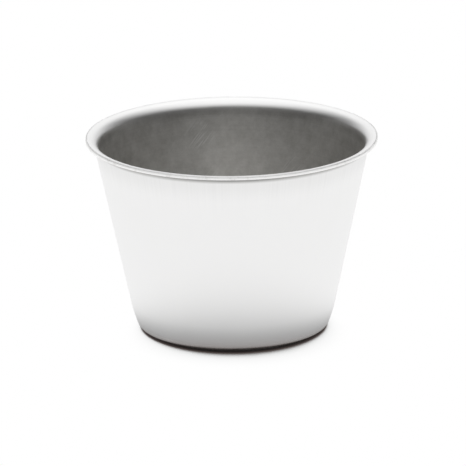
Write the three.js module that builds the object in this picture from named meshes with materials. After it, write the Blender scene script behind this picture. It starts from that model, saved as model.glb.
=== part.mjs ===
// A single-portion flan mould: one round blank of sheet metal, deep-drawn into a tapered cup.
// The base has a shallow panel pressed up inside a flat standing ring. A tight corner and a gently curved
// heel lead into the straight tapered wall, and the lip is flared out to a short flat land with a trimmed,
// softened edge.
// Millimetres, +Z up, with the origin on the axis, in the plane that the mould stands on.
import * as THREE from "three";

// Driving dimensions
const RIM_DIAMETER = 80; // across the trimmed edge of the lip
const HEIGHT = 54; // from the standing plane to the top of the lip
const FOOT_DIAMETER = 48.5; // outer edge of the flat standing ring, where the corner starts to rise
const SHEET = 1; // thickness of the metal, the same everywhere
const CORNER_RADIUS = 2.5; // between base and heel, on the outside
const HEEL_RADIUS = 45; // of the gentle curve between corner and wall, on the outside
const HEEL_TURN = THREE.MathUtils.degToRad(8.5); // how far the heel turns in below the wall
const LIP_RADIUS = 3; // of the flare, on its upper face
const LIP_LAND = 0.5; // flat stretch between the flare and the trimmed edge
const EDGE_ROUND = 0.25; // softened corners of the trimmed edge
const PANEL_DIAMETER = 36; // flat middle of the base
const PANEL_RISE = 0.8; // how far the panel is pressed up above the standing plane
const PANEL_BEND = 1.5; // inner radius of the two bends that lift the panel

// Fineness of the facets
const FACETS_AROUND = 72;
const BEND_STEP = THREE.MathUtils.degToRad(12);
const HEEL_STEP = THREE.MathUtils.degToRad(3);
const EDGE_STEP = THREE.MathUtils.degToRad(45);

// Directions from the centre of an arc, in the half plane of radius and height
const UP = Math.PI / 2;
const OUT = 0;
const DOWN = -Math.PI / 2;
const IN = Math.PI;

// The panel is lifted by two opposite bends, which share the rise between them.
const bendSum = 2 * PANEL_BEND + SHEET;
const panelTurn = Math.acos(1 - PANEL_RISE / bendSum);
const panelBend = new THREE.Vector2(PANEL_DIAMETER / 2, PANEL_RISE - PANEL_BEND);
const ringBend = new THREE.Vector2(panelBend.x + bendSum * Math.sin(panelTurn), PANEL_BEND + SHEET);

// The corner curls round a centre inside the cup, and the lip round one outside it. The wall is the
// straight line that touches heel and lip. Square to it, the two centres lie a set distance apart, so its
// lean follows from where they sit.
const corner = new THREE.Vector2(FOOT_DIAMETER / 2, CORNER_RADIUS);
const lipBend = new THREE.Vector2(RIM_DIAMETER / 2 - LIP_LAND, HEIGHT - LIP_RADIUS);
const heelReach = HEEL_RADIUS - CORNER_RADIUS;
const centresApart = HEEL_RADIUS - heelReach * Math.cos(HEEL_TURN) + LIP_RADIUS - SHEET;
const span = lipBend.clone().sub(corner);
const wallLean = Math.atan2(span.x, span.y) - Math.asin(centresApart / span.length());

// The heel's centre lies behind the corner's, on the line along which the two curves meet.
const heelLean = wallLean + HEEL_TURN;
const heel = new THREE.Vector2(
  corner.x - heelReach * Math.cos(heelLean),
  corner.y + heelReach * Math.sin(heelLean),
);

// Points along a round stretch, from one direction to the other.
function arc(centre, radius, from, to, step) {
  const clockwise = to < from;
  const curve = new THREE.EllipseCurve(centre.x, centre.y, radius, radius, from, to, clockwise);
  return curve.getPoints(Math.ceil(Math.abs(to - from) / step));
}

// One face of the sheet, from the axis to the start of the land. depth is the distance in from the
// outside, so every bend keeps its centre and the metal keeps its thickness. Straight stretches join
// the arcs, but the second panel bend and the heel start where the bend before them ends, so those points
// aren't repeated.
function sheetFace(depth) {
  return [
    new THREE.Vector2(0, PANEL_RISE + depth),
    ...arc(panelBend, PANEL_BEND + depth, UP, UP - panelTurn, BEND_STEP),
    ...arc(ringBend, PANEL_BEND + SHEET - depth, DOWN - panelTurn, DOWN, BEND_STEP).slice(1),
    ...arc(corner, CORNER_RADIUS - depth, DOWN, OUT - heelLean, BEND_STEP),
    ...arc(heel, HEEL_RADIUS - depth, OUT - heelLean, OUT - wallLean, HEEL_STEP).slice(1),
    ...arc(lipBend, LIP_RADIUS - SHEET + depth, IN - wallLean, UP, BEND_STEP),
  ];
}

// The trimmed edge of the lip, from its under face to its upper face. Its softened corners never take
// more than a third of the sheet each, or half of the land.
function trimmedEdge() {
  const round = Math.min(EDGE_ROUND, SHEET / 3, LIP_LAND / 2);
  const radius = RIM_DIAMETER / 2 - round;
  return [
    ...arc(new THREE.Vector2(radius, HEIGHT - SHEET + round), round, DOWN, OUT, EDGE_STEP),
    ...arc(new THREE.Vector2(radius, HEIGHT - round), round, OUT, UP, EDGE_STEP),
  ];
}

const satinAluminium = new THREE.MeshStandardMaterial({
  color: 0xdededb,
  metalness: 1,
  roughness: 0.35,
});

// The section runs along the outside, round the trimmed edge and back down the inside to the axis.
function mouldCup() {
  const section = [...sheetFace(0), ...trimmedEdge(), ...sheetFace(SHEET).reverse()];
  const cup = new THREE.Mesh(new THREE.LatheGeometry(section, FACETS_AROUND), satinAluminium);
  cup.name = "mould_cup";
  // A turned shape stands along Y, and the mould stands along Z.
  cup.rotation.x = Math.PI / 2;
  return cup;
}

const flanMould = new THREE.Group();
flanMould.add(mouldCup());

export default flanMould;
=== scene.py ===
# %% [markdown]
# A flan mould in satin aluminium
#
# The object is a small cup, deep-drawn from one round blank of sheet metal. There is no seam and no second
# piece, so the whole model is one shell. Everything that makes it look real is in three places: an exact
# section with an even sheet thickness, a satin finish with the marks that the press tools leave, and a plain
# studio for the metal to mirror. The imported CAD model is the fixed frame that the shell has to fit.

# %% Load the frame
import math

import bmesh
import bpy
from mathutils import Matrix, Vector


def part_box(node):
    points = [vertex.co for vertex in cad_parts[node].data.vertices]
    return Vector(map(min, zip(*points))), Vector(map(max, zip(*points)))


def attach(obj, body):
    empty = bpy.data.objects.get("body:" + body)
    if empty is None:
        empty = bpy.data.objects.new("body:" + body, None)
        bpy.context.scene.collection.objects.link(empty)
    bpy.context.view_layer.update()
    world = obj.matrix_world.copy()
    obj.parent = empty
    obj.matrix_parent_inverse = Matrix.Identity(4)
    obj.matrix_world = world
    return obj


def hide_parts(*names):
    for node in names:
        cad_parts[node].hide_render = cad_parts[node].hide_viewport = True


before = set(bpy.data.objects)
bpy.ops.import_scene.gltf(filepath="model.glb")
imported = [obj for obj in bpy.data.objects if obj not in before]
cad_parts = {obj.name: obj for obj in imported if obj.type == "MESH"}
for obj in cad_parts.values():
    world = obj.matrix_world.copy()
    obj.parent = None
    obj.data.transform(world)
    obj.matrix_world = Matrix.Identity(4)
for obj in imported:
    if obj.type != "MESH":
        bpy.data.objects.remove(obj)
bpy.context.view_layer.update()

print("CAD nodes:", sorted(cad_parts))

# %% [markdown]
# Sizes
#
# The rim and the height are read from the frame, so the shell can't drift away from the CAD part. The other
# sizes describe the sheet: how thick it is, and how tightly it is bent at the lip, the heel and the base.

# %% Sizes, in metres
MM = 0.001
box_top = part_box("mould_cup")[1]
RIM_RADIUS = box_top.x
HEIGHT = box_top.z
FOOT_RADIUS = 24.25 * MM
SHEET = 1 * MM
CORNER_RADIUS = 2.5 * MM
HEEL_RADIUS = 45 * MM
HEEL_TURN = math.radians(8.5)
LIP_RADIUS = 3 * MM
LIP_LAND = 0.5 * MM
EDGE_ROUND = 0.25 * MM
PANEL_RADIUS = 18 * MM
PANEL_RISE = 0.8 * MM
PANEL_BEND = 1.5 * MM
print(f"rim {2 * RIM_RADIUS / MM:.1f} mm across, {HEIGHT / MM:.1f} mm high")

# %% [markdown]
# How the wall leans
#
# On the press the sheet is pulled round two tools: the nose of the punch at the base and the draw ring
# under the lip. Between them it is straight. So the wall is the line that touches the heel and the lip, and
# its lean follows from where their circles sit. That is exact, and it keeps the bends smooth where they meet
# the wall.

# %% The lean of the wall
corner_centre = Vector((FOOT_RADIUS, 0, CORNER_RADIUS))
lip_centre = Vector((RIM_RADIUS - LIP_LAND, 0, HEIGHT - LIP_RADIUS))
span = lip_centre - corner_centre
heel_reach = HEEL_RADIUS - CORNER_RADIUS
centres_apart = HEEL_RADIUS - heel_reach * math.cos(HEEL_TURN) + LIP_RADIUS - SHEET
wall_lean = math.atan2(span.x, span.z) - math.asin(centres_apart / span.length)
heel_lean = wall_lean + HEEL_TURN
heel_centre = corner_centre + heel_reach * Vector((-math.cos(heel_lean), 0, math.sin(heel_lean)))
wall_length = math.sqrt(span.length_squared - centres_apart ** 2) - heel_reach * math.sin(HEEL_TURN)
wall_run = wall_length * math.sin(wall_lean)
wall_rise = wall_length * math.cos(wall_lean)
print(f"the wall leans {math.degrees(wall_lean):.2f} degrees and is {wall_length / MM:.1f} mm long")

# %% [markdown]
# Drawing the section
#
# A section can be drawn as a list of points, but then every bend needs its own sums. Two bmesh operators
# draw it the way a maker would describe it: a straight stretch is an extruded vertex, and a bend is a vertex
# spun round the centre of the tool. Both leave edges behind them, like a pen.

# %% Pens for straight stretches and bends
def draw_straight(section, tip, run, rise, steps):
    """Extrudes the tip along a straight stretch in even steps and returns the new tip."""
    for _ in range(steps):
        tip = bmesh.ops.extrude_vert_indiv(section, verts=[tip])["verts"][0]
        bmesh.ops.translate(section, verts=[tip], vec=(run / steps, 0, rise / steps))
    return tip


def draw_bend(section, tip, centre, turn, steps):
    """Spins the tip round a centre and returns the new tip. A positive turn goes from up to outwards."""
    made = bmesh.ops.spin(section, geom=[tip], cent=centre, axis=(0, 1, 0), angle=turn, steps=steps)
    return next(item for item in made["geom_last"] if isinstance(item, bmesh.types.BMVert))


# %% The outside of the sheet, from the middle of the base to the lip
bend_sum = 2 * PANEL_BEND + SHEET
panel_turn = math.acos(1 - PANEL_RISE / bend_sum)
panel_centre = Vector((PANEL_RADIUS, 0, PANEL_RISE - PANEL_BEND))
ring_centre = Vector((PANEL_RADIUS + bend_sum * math.sin(panel_turn), 0, PANEL_BEND + SHEET))

sheet = bmesh.new()
tip = sheet.verts.new((0, 0, PANEL_RISE))
tip = draw_straight(sheet, tip, run=PANEL_RADIUS, rise=0, steps=8)
tip = draw_bend(sheet, tip, panel_centre, turn=panel_turn, steps=5)
tip = draw_bend(sheet, tip, ring_centre, turn=-panel_turn, steps=6)
tip = draw_straight(sheet, tip, run=FOOT_RADIUS - ring_centre.x, rise=0, steps=3)
tip = draw_bend(sheet, tip, corner_centre, turn=heel_lean - math.pi / 2, steps=10)
tip = draw_bend(sheet, tip, heel_centre, turn=-HEEL_TURN, steps=8)
tip = draw_straight(sheet, tip, run=wall_run, rise=wall_rise, steps=18)
tip = draw_bend(sheet, tip, lip_centre, turn=math.pi / 2 - wall_lean, steps=12)
tip = draw_straight(sheet, tip, run=LIP_LAND, rise=0, steps=2)
print(f"the section has {len(sheet.verts)} points and ends {tip.co.x / MM:.2f} mm from the axis")

# %% [markdown]
# Turning the section into a cup
#
# Spin turns the section about the axis. A full turn leaves a seam where the end meets the start, and a fan of
# doubled points on the axis, so the doubles are merged. Solidify grows the thickness away from the side that
# the faces point to. On an open cup the recalculated normals point into the cup, so they are reversed first:
# then the drawn section stays the outside of the wall. Modifiers could do the same, but with operators the
# drawn faces can be remembered, which sorts the finishes later.

# %% Spin, merge and thicken
STEPS_AROUND = 240
DOUBLES = 0.001 * MM

bmesh.ops.spin(
    sheet, geom=sheet.verts[:] + sheet.edges[:], cent=(0, 0, 0), axis=(0, 0, 1),
    angle=math.tau, steps=STEPS_AROUND, use_merge=True,
)
bmesh.ops.remove_doubles(sheet, verts=sheet.verts, dist=DOUBLES)
bmesh.ops.recalc_face_normals(sheet, faces=sheet.faces)
bmesh.ops.reverse_faces(sheet, faces=sheet.faces)
outside_faces = set(sheet.faces)
bmesh.ops.solidify(sheet, geom=sheet.faces[:], thickness=SHEET)
print(f"the shell has {len(sheet.faces)} faces")

# %% [markdown]
# The trimmed edge
#
# The lip is cut off square on a lathe and then deburred, so its two corners are softened by a quarter of a
# millimetre. That is small, but it catches a line of light all round the mouth. Bevel does it in one step.
# The outside, the inside and the cut edge are finished differently, so the faces are sorted into three zones.
# Outside and inside are told apart before the bevel, while the drawn faces are still known. The cut edge is
# whatever lies furthest out after it, softened corners included.

# %% Zones and the softened edge
OUTSIDE, INSIDE, EDGE = range(3)  # in the order in which the finishes are made


def all_beyond(item, radius):
    """Whether every corner of an edge or a face lies further from the axis than the radius."""
    return all(vert.co.xy.length > radius for vert in item.verts)


for face in sheet.faces:
    face.smooth = True
    face.material_index = OUTSIDE if face in outside_faces else INSIDE
rim_edges = [
    edge for edge in sheet.edges
    if all_beyond(edge, RIM_RADIUS - DOUBLES) and abs(edge.verts[0].co.z - edge.verts[1].co.z) < DOUBLES
]
bmesh.ops.bevel(
    sheet, geom=rim_edges, offset=EDGE_ROUND, segments=4, profile=0.5, affect="EDGES", material=-1,
)
for face in sheet.faces:
    if all_beyond(face, RIM_RADIUS - EDGE_ROUND - DOUBLES):
        face.material_index = EDGE
print(f"{len(rim_edges)} rim edges were softened, and the shell has {len(sheet.faces)} faces")

# %% The finished shell
shell = bpy.data.meshes.new("mould_shell")
sheet.to_mesh(shell)
sheet.free()
cup = bpy.data.objects.new("mould_shell", shell)
bpy.context.scene.collection.objects.link(cup)

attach(cup, "root")
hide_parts("mould_cup")
print(f"{cup.name} measures {[round(side / MM, 2) for side in cup.dimensions]} mm")

# %% [markdown]
# Helpers for the finishes
#
# A finish is a small tree of nodes. One helper adds a node, sets it up and plugs other nodes into it, so that
# the code of a finish reads from the pattern to the shader. The others are built on it: sums, ramps that take
# one range of values to another, and blends of two colours.

# %% Node helpers
FIRST_COLOUR, SECOND_COLOUR, BLENDED_COLOUR = 6, 7, 2  # the Mix node's sockets for colours


def add_node(tree, kind, inputs=None, **settings):
    """Adds a node. An input is a plain value, or the socket of another node to link from."""
    node = tree.nodes.new(kind)
    for name, value in settings.items():
        setattr(node, name, value)
    for socket, value in (inputs or {}).items():
        if isinstance(value, bpy.types.NodeSocket):
            tree.links.new(value, node.inputs[socket])
        else:
            node.inputs[socket].default_value = value
    return node


def compute(tree, operation, *values):
    """One step of arithmetic on one or two numbers."""
    node = add_node(tree, "ShaderNodeMath", dict(enumerate(values)), operation=operation)
    return node.outputs["Value"]


def compute_vector(tree, operation, *values, output="Vector"):
    """One step of arithmetic on vectors. A length or a distance comes out of the output named Value."""
    node = add_node(tree, "ShaderNodeVectorMath", dict(enumerate(values)), operation=operation)
    return node.outputs[output]


def weighted(tree, *terms):
    """The sum of some patterns, each given with its weight."""
    products = [compute(tree, "MULTIPLY", pattern, weight) for pattern, weight in terms]
    total = products[0]
    for product in products[1:]:
        total = compute(tree, "ADD", total, product)
    return total


def ramp(tree, value, start, end, low_value, high_value, kind="SMOOTHSTEP"):
    """Maps a value between start and end to a range, held flat outside it."""
    inputs = {"Value": value, "From Min": start, "From Max": end, "To Min": low_value, "To Max": high_value}
    return add_node(tree, "ShaderNodeMapRange", inputs, interpolation_type=kind).outputs["Result"]


def blend_colours(tree, factor, first, second):
    """Goes from the first colour to the second as the factor rises from 0 to 1."""
    inputs = {"Factor": factor, FIRST_COLOUR: first, SECOND_COLOUR: second}
    return add_node(tree, "ShaderNodeMix", inputs, data_type="RGBA").outputs[BLENDED_COLOUR]


# %% [markdown]
# Coordinates on a turned part
#
# Marks on a drawn cup follow the tools. The punch drags lines up the wall, and a polishing mop or a lathe
# leaves lines round it. So two patterns are needed: one that is stretched along the height, and one that is
# the same all the way round. The first divides the place by its distance from the axis and squeezes the
# height, and the second reads only how far a point lies along the section. All of them start from Object
# coordinates, which are metres in the shell's own frame, so a mark stays where it is.

# %% Places on the shell
STREAK_SQUEEZE = (0, 0, 0.27)
LEVEL = (1, 1, 0)


def below_lip(millimetres):
    """The height that lies this far below the top of the lip."""
    return HEIGHT - millimetres * MM


def shell_place(tree):
    """A point of the shell, and its height."""
    place = add_node(tree, "ShaderNodeTexCoord").outputs["Object"]
    height = add_node(tree, "ShaderNodeSeparateXYZ", {"Vector": place}).outputs["Z"]
    return place, height


def streak_place(tree, place):
    """The point moved to one unit from the axis, with its height squeezed, which stretches patterns."""
    around = compute_vector(tree, "NORMALIZE", compute_vector(tree, "MULTIPLY", place, LEVEL))
    return compute_vector(tree, "MULTIPLY_ADD", place, STREAK_SQUEEZE, around)


def way_along(tree, place, height):
    """Radius plus height, which grows along the wall and the flare and is the same all the way round."""
    radius = compute_vector(tree, "LENGTH", compute_vector(tree, "MULTIPLY", place, LEVEL), output="Value")
    return compute(tree, "ADD", radius, height)


# %% [markdown]
# Patterns and shaders
#
# Noise gives every mark its unevenness. It runs from 0 to 1 round a middle of one half, and where it should
# both raise and lower a tone, the middle is taken off. In one dimension it makes rings. Each finish ends the
# same way: a colour, a roughness and a bump are plugged into a metal shader.

# %% Pattern and shader helpers
MIDDLE = 0.5
GREEN_SHARE = 0.3


def noise(tree, vector, scale, detail=2.0, roughness=0.5):
    """A cloudy pattern."""
    inputs = {"Vector": vector, "Scale": scale, "Detail": detail, "Roughness": roughness}
    return add_node(tree, "ShaderNodeTexNoise", inputs).outputs["Fac"]


def ring_noise(tree, along, scale, detail=2.0):
    """A pattern of rings round the axis."""
    inputs = {"W": along, "Scale": scale, "Detail": detail}
    return add_node(tree, "ShaderNodeTexNoise", inputs, noise_dimensions="1D").outputs["Fac"]


def centred(tree, pattern):
    """Takes the middle off a pattern, so that it swings round 0."""
    return compute(tree, "SUBTRACT", pattern, MIDDLE)


def grey(value, warmth=0.0):
    """A near-neutral metal colour. Warmth takes off blue, and a smaller share of green."""
    return (value, value * (1 - GREEN_SHARE * warmth), value * (1 - warmth), 1)


def new_finish(name):
    """An empty metal material and its shader."""
    material = bpy.data.materials.new(name)
    material.use_nodes = True
    shader = material.node_tree.nodes["Principled BSDF"]
    shader.inputs["Metallic"].default_value = 1
    shell.materials.append(material)
    return material.node_tree, shader


def plug_in(tree, shader, colour, roughness, relief, strength, depth):
    """Plugs a finish into its shader. The relief becomes a bump of the given strength and depth."""
    bump = add_node(tree, "ShaderNodeBump", {"Height": relief, "Strength": strength, "Distance": depth})
    tree.links.new(colour, shader.inputs["Base Color"])
    tree.links.new(roughness, shader.inputs["Roughness"])
    tree.links.new(bump.outputs["Normal"], shader.inputs["Normal"])


# %% [markdown]
# The outside: satin, with draw marks
#
# The outside of the wall is satin and nearly white, because it mirrors the table in front of it. Seen close,
# it has fine upright lines from the draw ring, strongest under the lip where the metal was squeezed most, and
# a soft mottle. Its colour is painted darker in the bend under the lip, as painted shade cast by the lip, and
# a faint painted shade darkens the wall over the nine millimetres below it. That bend is also rougher. The
# lowest edge is worn smoother. A flat grey would show none of this. The marks go into the colour, the
# roughness and a shallow bump together, because a real scratch changes all three.

# %% Outside finish: patterns
DRAW_MARKS = {"scale": 60, "detail": 4, "roughness": 0.6}
DRAW_ZONE = (below_lip(14), below_lip(3))
DRAW_FAINTEST = 0.06
SOFT_MOTTLE = {"scale": 110, "detail": 3}
GRAIN = {"scale": 2600, "detail": 1}
# Painted shade: over these bands the wall darkens faintly towards the lip, and strongly in the bend under it.
SHADE_HAZE_ZONE = (below_lip(9), below_lip(2.2))
SHADE_HAZE_STRENGTH = 0.14
LIP_SHADE_ZONE = (below_lip(3.1), below_lip(1.7))
WEAR_ZONE = (1.3 * MM, 2.1 * MM)

tree, shader = new_finish("satin_outside")
place, height = shell_place(tree)
draw_marks = centred(tree, noise(tree, streak_place(tree, place), **DRAW_MARKS))
draw = compute(tree, "MULTIPLY", draw_marks, ramp(tree, height, *DRAW_ZONE, DRAW_FAINTEST, 1.0))
mottle = centred(tree, noise(tree, place, **SOFT_MOTTLE))
grain = noise(tree, place, **GRAIN)
# Painted shade under the lip, faint lower down and strong in the bend.
shade_haze = ramp(tree, height, *SHADE_HAZE_ZONE, 0.0, SHADE_HAZE_STRENGTH)
lip_shade = compute(tree, "MAXIMUM", shade_haze, ramp(tree, height, *LIP_SHADE_ZONE, 0.0, 1.0))
wear = ramp(tree, height, *WEAR_ZONE, 1.0, 0.0)
print("outside patterns:", len(tree.nodes), "nodes")

# %% Outside finish: colour, roughness and relief
CLEAN_DARK = grey(0.84, 0.006)
CLEAN_LIGHT = grey(0.92, 0.003)
# A darker grey painted in as shade under the lip, and the rougher gloss there.
PAINTED_LIP_SHADE = grey(0.46, 0.03)
SATIN_ROUGHNESS = 0.33
UNDER_LIP_ROUGHNESS = 0.45

tone = weighted(tree, (draw, 1.1), (mottle, 0.30))
clean = blend_colours(tree, compute(tree, "ADD", tone, MIDDLE), CLEAN_DARK, CLEAN_LIGHT)
# The painted shade under the lip goes into the colour; the roughness rises there too.
colour = blend_colours(tree, lip_shade, clean, PAINTED_LIP_SHADE)
satin = ramp(tree, lip_shade, 0, 1, SATIN_ROUGHNESS, UNDER_LIP_ROUGHNESS, "LINEAR")
marks = weighted(tree, (mottle, 0.08), (draw, -0.12), (wear, -0.19))
rough = compute(tree, "ADD", satin, marks)
relief = weighted(tree, (draw, 1.0), (grain, 0.2))
plug_in(tree, shader, colour, rough, relief, strength=0.12, depth=0.1 * MM)
print("outside finish:", len(tree.nodes), "nodes")

# %% [markdown]
# The inside: as drawn, with a broader gloss and painted shade
#
# The inside is never polished, only the flare of the lip is, where the mop reaches. So the inside has a
# broader gloss. Its colour is painted a slightly warm grey, darker than the outside's, as painted shade
# inside the cup, and this painted shade fades out to a bright burnished lip over the last few millimetres.
# Just under the flare runs a smoother ring, where the sheet was pressed hardest. It mirrors the dim room more
# sharply than the wall does, so it looks darker. The inside also carries faint lines round the wall from the
# turned punch, a mottle from baking, and a few diagonal hairlines from spoons and stacking. One material with
# masks on the height gives the soft change that a real mop leaves.

# %% Inside finish: scuffs
SCUFF_PLACE = (-9 * MM, 34 * MM, 44.5 * MM)
SCUFF_REACH = 5 * MM
SCUFF_LEAN = math.radians(39)
SCUFF_GAP = 0.45 * MM
HAIRLINE_SIZE = (SCUFF_GAP, 50 * SCUFF_GAP, 15 * SCUFF_GAP)
HAIRLINE_CUT = (0.54, 0.64)
STRAY_PATCHES = {"scale": 45, "detail": 1}
STRAY_CUT = (0.60, 0.72)
STRAY_STRENGTH = 0.7

tree, shader = new_finish("drawn_inside")
place, height = shell_place(tree)
leaning = {"Vector": place, "Rotation": (0, SCUFF_LEAN, 0), "Scale": HAIRLINE_SIZE}
hairline_place = add_node(tree, "ShaderNodeMapping", leaning, vector_type="TEXTURE").outputs["Vector"]
hairlines = ramp(tree, noise(tree, hairline_place, scale=1, detail=1), *HAIRLINE_CUT, 0.0, 1.0)
off_patch = compute_vector(tree, "DISTANCE", place, SCUFF_PLACE, output="Value")
main_patch = ramp(tree, off_patch, SCUFF_REACH / 2, SCUFF_REACH, 1.0, 0.0)
stray_patches = ramp(tree, noise(tree, place, **STRAY_PATCHES), *STRAY_CUT, 0.0, STRAY_STRENGTH)
scuffs = compute(tree, "MULTIPLY", hairlines, compute(tree, "MAXIMUM", main_patch, stray_patches))
print("inside scuffs:", len(tree.nodes), "nodes")

# %% Inside finish: colour, roughness and relief
TURNED_LINES = {"scale": 1500, "detail": 3}
BAKED_MOTTLE = {"scale": 260, "detail": 6, "roughness": 0.75}
# Over this band the inside's painted shade fades out towards the burnished lip.
SHADE_FADE_ZONE = (below_lip(3.6), below_lip(1.0))
RING_ZONE = (below_lip(4.7), below_lip(3.9))
FLARE_ZONE = (below_lip(2.7), below_lip(1.9))
# Painted shade: the inside's two greys are darker than the outside's, standing for the shade inside the cup;
# a random mottle picks between them.
SHADED_INSIDE_DARK = grey(0.53, 0.055)
SHADED_INSIDE_LIGHT = grey(0.73, 0.04)
SCUFF_COLOUR = grey(0.84, 0.02)
SCUFF_STRENGTH = 0.6
BURNISHED = grey(0.93, 0.004)
WALL_ROUGHNESS = 0.41
RING_ROUGHNESS = 0.31
FLARE_ROUGHER = 0.06

turned = centred(tree, ring_noise(tree, way_along(tree, place, height), **TURNED_LINES))
mottle = centred(tree, noise(tree, place, **BAKED_MOTTLE))
tone = weighted(tree, (mottle, 2.4), (turned, 0.3))
# The mottled inside colour, which carries the painted shade.
shaded_mottle = blend_colours(tree, compute(tree, "ADD", tone, MIDDLE), SHADED_INSIDE_DARK, SHADED_INSIDE_LIGHT)
scuffed = blend_colours(tree, compute(tree, "MULTIPLY", scuffs, SCUFF_STRENGTH), shaded_mottle, SCUFF_COLOUR)
# The painted shade fades out towards the lip.
shade_fade = ramp(tree, height, *SHADE_FADE_ZONE, 0.0, 1.0)
colour = blend_colours(tree, shade_fade, scuffed, BURNISHED)
wall_to_ring = ramp(tree, height, *RING_ZONE, WALL_ROUGHNESS, RING_ROUGHNESS)
satin = compute(tree, "ADD", wall_to_ring, ramp(tree, height, *FLARE_ZONE, 0.0, FLARE_ROUGHER))
rough = compute(tree, "ADD", satin, weighted(tree, (mottle, 0.08), (scuffs, -0.02)))
relief = weighted(tree, (turned, 0.6), (scuffs, -0.4))
plug_in(tree, shader, colour, rough, relief, strength=0.08, depth=0.1 * MM)
print("inside finish:", len(tree.nodes), "nodes")

# %% [markdown]
# The trimmed edge: turned bright
#
# The cut edge is the only place where the metal was turned on a lathe. It is the palest zone. Hair-thin tool
# lines round it keep its gloss soft, and small knocks from stacking make it a little greyer and duller in
# spots. The lines come from the same ring pattern as on the inside, much finer.

# %% Edge finish
TOOL_LINE_SCALE = 9000
KNOCKS = {"scale": 520, "detail": 3, "roughness": 0.65}
KNOCK_CUT = (0.50, 0.74)
BRIGHT_EDGE = grey(0.95, 0.012)
KNOCKED_EDGE = grey(0.82, 0.03)
EDGE_ROUGHNESS = 0.42
KNOCK_ROUGHNESS = 0.52

tree, shader = new_finish("turned_edge")
place, height = shell_place(tree)
tool_lines = centred(tree, ring_noise(tree, way_along(tree, place, height), TOOL_LINE_SCALE))
knocks = ramp(tree, noise(tree, place, **KNOCKS), *KNOCK_CUT, 0.0, 1.0)
colour = blend_colours(tree, knocks, BRIGHT_EDGE, KNOCKED_EDGE)
polish = ramp(tree, knocks, 0, 1, EDGE_ROUGHNESS, KNOCK_ROUGHNESS, "LINEAR")
rough = weighted(tree, (tool_lines, 0.15), (polish, 1.0))
relief = weighted(tree, (tool_lines, 1.0), (knocks, -0.5))
plug_in(tree, shader, colour, rough, relief, strength=0.1, depth=0.05 * MM)
print("edge finish:", len(tree.nodes), "nodes")

# %% [markdown]
# The floor
#
# The mould stands on a plain white table that runs out of view. A lit diffuse floor would need strong lamps
# to reach white. So this one shines at white level, times how open each place is to the sky, which the
# Ambient Occlusion node measures. Most light comes from behind, so the node looks along a direction that is
# tilted back, which puts the shadow in front of the foot. A curve through listed points turns the openness
# into
# light. There are two such measures: the camera sees a thin soft contact shadow, and the metal mirrors a
# broader one, which darkens the foot of the wall. The floor lies a hair under the mould, so that no two faces
# share a plane.

# %% Floor plane
FLOOR_SIZE = 6.0
FLOOR_GAP = 0.02 * MM

slab = bmesh.new()
bmesh.ops.create_grid(slab, x_segments=1, y_segments=1, size=FLOOR_SIZE / 2)
floor_mesh = bpy.data.meshes.new("floor")
slab.to_mesh(floor_mesh)
slab.free()
floor = bpy.data.objects.new("floor", floor_mesh)
floor.location.z = -FLOOR_GAP
bpy.context.scene.collection.objects.link(floor)
print(f"floor {FLOOR_SIZE:.0f} m wide")

# %% Light on the floor
WHITE = (1, 1, 1, 1)
SHADOW_REACH = 150 * MM
SHADOW_TINT = (1, 0.78, 0.72, 1)
TINT_FADES_AT = 0.4


def tone_curve(tree, value, points):
    """A curve from 0, 0 to 1, 1 through the points."""
    node = add_node(tree, "ShaderNodeFloatCurve", {"Value": value})
    line = node.mapping.curves[0]
    for point in points:
        line.points.new(*point)
    for point in line.points:
        point.handle_type = "AUTO_CLAMPED"
    node.mapping.update()
    return node.outputs["Value"]


def floor_glow(tree, tilt, samples, curve):
    """White light, dimmed and tinted where the view of the sky along the tilted direction is blocked."""
    upright = add_node(tree, "ShaderNodeNewGeometry").outputs["Normal"]
    facing = compute_vector(tree, "NORMALIZE", compute_vector(tree, "ADD", upright, tilt))
    sky_view = {"Distance": SHADOW_REACH, "Normal": facing}
    openness = add_node(tree, "ShaderNodeAmbientOcclusion", sky_view, samples=samples).outputs["AO"]
    light = tone_curve(tree, openness, curve)
    paleness = ramp(tree, light, 0.0, TINT_FADES_AT, 0.0, 1.0, "LINEAR")
    tint = blend_colours(tree, paleness, SHADOW_TINT, WHITE)
    return add_node(tree, "ShaderNodeEmission", {"Color": tint, "Strength": light}).outputs["Emission"]


# %% Floor finish
MIRRORED_TILT = (0, 0.32, 0)
MIRRORED_SAMPLES = 192
MIRRORED_CURVE = [
    (0.24, 0.02), (0.30, 0.03), (0.355, 0.30), (0.45, 0.39), (0.525, 0.54), (0.595, 0.73), (0.685, 0.93),
    (0.775, 1.0),
]
SEEN_TILT = (-0.05, 0.38, 0)
SEEN_SAMPLES = 64
SEEN_CURVE = [
    (0.05, 0.018), (0.18, 0.045), (0.285, 0.095), (0.33, 0.28), (0.36, 0.60), (0.39, 0.81), (0.43, 0.91),
    (0.47, 0.955), (0.56, 1.0),
]

table = bpy.data.materials.new("white_table")
table.use_nodes = True
floor_mesh.materials.append(table)
tree = table.node_tree
tree.nodes.clear()
mirrored = floor_glow(tree, MIRRORED_TILT, MIRRORED_SAMPLES, MIRRORED_CURVE)
seen = floor_glow(tree, SEEN_TILT, SEEN_SAMPLES, SEEN_CURVE)
seen_by_camera = add_node(tree, "ShaderNodeLightPath").outputs["Is Camera Ray"]
by_ray = add_node(tree, "ShaderNodeMixShader", {0: seen_by_camera, 1: mirrored, 2: seen}).outputs["Shader"]
add_node(tree, "ShaderNodeOutputMaterial", {"Surface": by_ray})
print("floor finish:", len(tree.nodes), "nodes")

# %% [markdown]
# The studio
#
# A shiny thing looks like what stands around it. Here that is a white sweep behind the mould, a broad soft
# box overhead, and the dim room on the camera's side, which is what darkens the inside of the cup. The world
# shader paints these by direction, where X is sideways, Y is back and Z is up. The soft box grows brighter
# with height and is dimmer at the sides. The sweep fills what lies behind, reaches furthest round near the
# horizon, and is a little darker at its foot and brighter at its top. The camera itself sees plain white, at
# strength 1.

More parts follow.
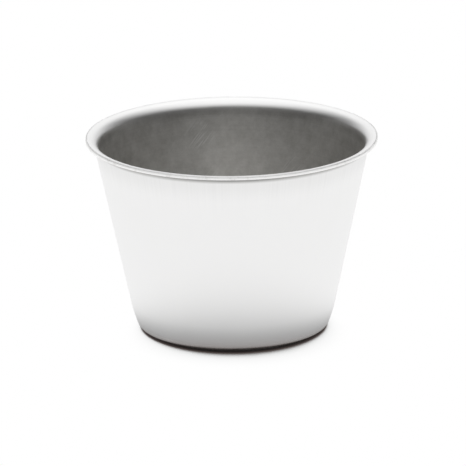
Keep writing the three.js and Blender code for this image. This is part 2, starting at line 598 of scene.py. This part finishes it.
# %% World
def sine(degrees):
    """The height, on a sphere of radius 1, of a direction that rises by this angle."""
    return math.sin(math.radians(degrees))


world = bpy.data.worlds.new("studio")
bpy.context.scene.world = world
world.use_nodes = True
tree = world.node_tree
tree.nodes.clear()
way = add_node(tree, "ShaderNodeTexCoord").outputs["Generated"]
axes = add_node(tree, "ShaderNodeSeparateXYZ", {"Vector": way}).outputs
sideways = compute(tree, "ABSOLUTE", axes["X"])
print("world directions:", len(tree.nodes), "nodes")

# %% Soft box
SOFT_BOX_EDGE = (sine(8), sine(68))
SOFT_BOX_LEVELS = (0.03, 1.06)
SOFT_BOX_SIDES = (0.30, 0.90)
SOFT_BOX_AT_SIDES = 0.70

overhead = ramp(tree, axes["Z"], *SOFT_BOX_EDGE, *SOFT_BOX_LEVELS)
soft_box = compute(tree, "MULTIPLY", overhead, ramp(tree, sideways, *SOFT_BOX_SIDES, 1.0, SOFT_BOX_AT_SIDES))
print("with the soft box:", len(tree.nodes), "nodes")

# %% Sweep
SWEEP_FRONT = (-0.05, 0.35)
SWEEP_SIDES = (0.28, 1.0)
LOW_SWEEP_SIDES = (0.46, 1.20)
LOW_SWEEP_TOP = (sine(10), sine(22))
SWEEP_FOOT = (sine(-6), sine(20))
SWEEP_LEVELS = (0.62, 0.97)
SWEEP_TOP = (sine(33), sine(50))
SWEEP_TOP_GAIN = 0.16

behind = ramp(tree, axes["Y"], *SWEEP_FRONT, 0.0, 1.0)
low_part = ramp(tree, axes["Z"], *LOW_SWEEP_TOP, 1.0, 0.0)
low_width = compute(tree, "MULTIPLY", ramp(tree, sideways, *LOW_SWEEP_SIDES, 1.0, 0.0), low_part)
width = compute(tree, "MAXIMUM", ramp(tree, sideways, *SWEEP_SIDES, 1.0, 0.0), low_width)
foot = ramp(tree, axes["Z"], *SWEEP_FOOT, *SWEEP_LEVELS)
rise = compute(tree, "ADD", foot, ramp(tree, axes["Z"], *SWEEP_TOP, 0.0, SWEEP_TOP_GAIN))
sweep = compute(tree, "MULTIPLY", compute(tree, "MULTIPLY", behind, width), rise)
print("with the sweep:", len(tree.nodes), "nodes")

# %% What the metal mirrors and what the camera sees
PLAIN_WHITE = 1.0

room = compute(tree, "MAXIMUM", soft_box, sweep)
seen_by_camera = add_node(tree, "ShaderNodeLightPath").outputs["Is Camera Ray"]
by_ray = {"Factor": seen_by_camera, "A": room, "B": PLAIN_WHITE}
strength = add_node(tree, "ShaderNodeMix", by_ray, data_type="FLOAT").outputs["Result"]
background = add_node(tree, "ShaderNodeBackground", {"Color": WHITE, "Strength": strength})
add_node(tree, "ShaderNodeOutputWorld", {"Surface": background.outputs["Background"]})
print("world:", len(tree.nodes), "nodes")

# %% [markdown]
# The camera
#
# The rim's ellipse gives the height of the camera, and the way the two sides narrow towards the foot gives
# its distance: a long lens from more than a metre away. The horizon is turned by well under a degree, as a
# hand-set tripod leaves it.

# %% Camera
CAMERA_DISTANCE = 1.3
CAMERA_ELEVATION = math.radians(17.17)
CAMERA_ROLL = math.radians(-0.61)
LENS = 364.6  # in millimetres, as Blender measures lenses and sensors
SENSOR = 36
CUP_MIDDLE = Vector((0, 0, 26 * MM))
AIM = Vector((0.10 * MM, 0, 26.10 * MM))

camera_data = bpy.data.cameras.new("camera")
camera_data.lens = LENS
camera_data.sensor_width = SENSOR
camera = bpy.data.objects.new("camera", camera_data)
bpy.context.scene.collection.objects.link(camera)
away = Vector((0, -math.cos(CAMERA_ELEVATION), math.sin(CAMERA_ELEVATION)))
camera.location = CUP_MIDDLE + CAMERA_DISTANCE * away
look = (AIM - camera.location).to_track_quat("-Z", "Y").to_matrix()
camera.rotation_euler = (look @ Matrix.Rotation(CAMERA_ROLL, 3, "Z")).to_euler()
bpy.context.scene.camera = camera
bpy.context.scene.view_settings.view_transform = "Standard"
print(f"camera {CAMERA_DISTANCE:.2f} m away, {math.degrees(CAMERA_ELEVATION):.1f} degrees up")
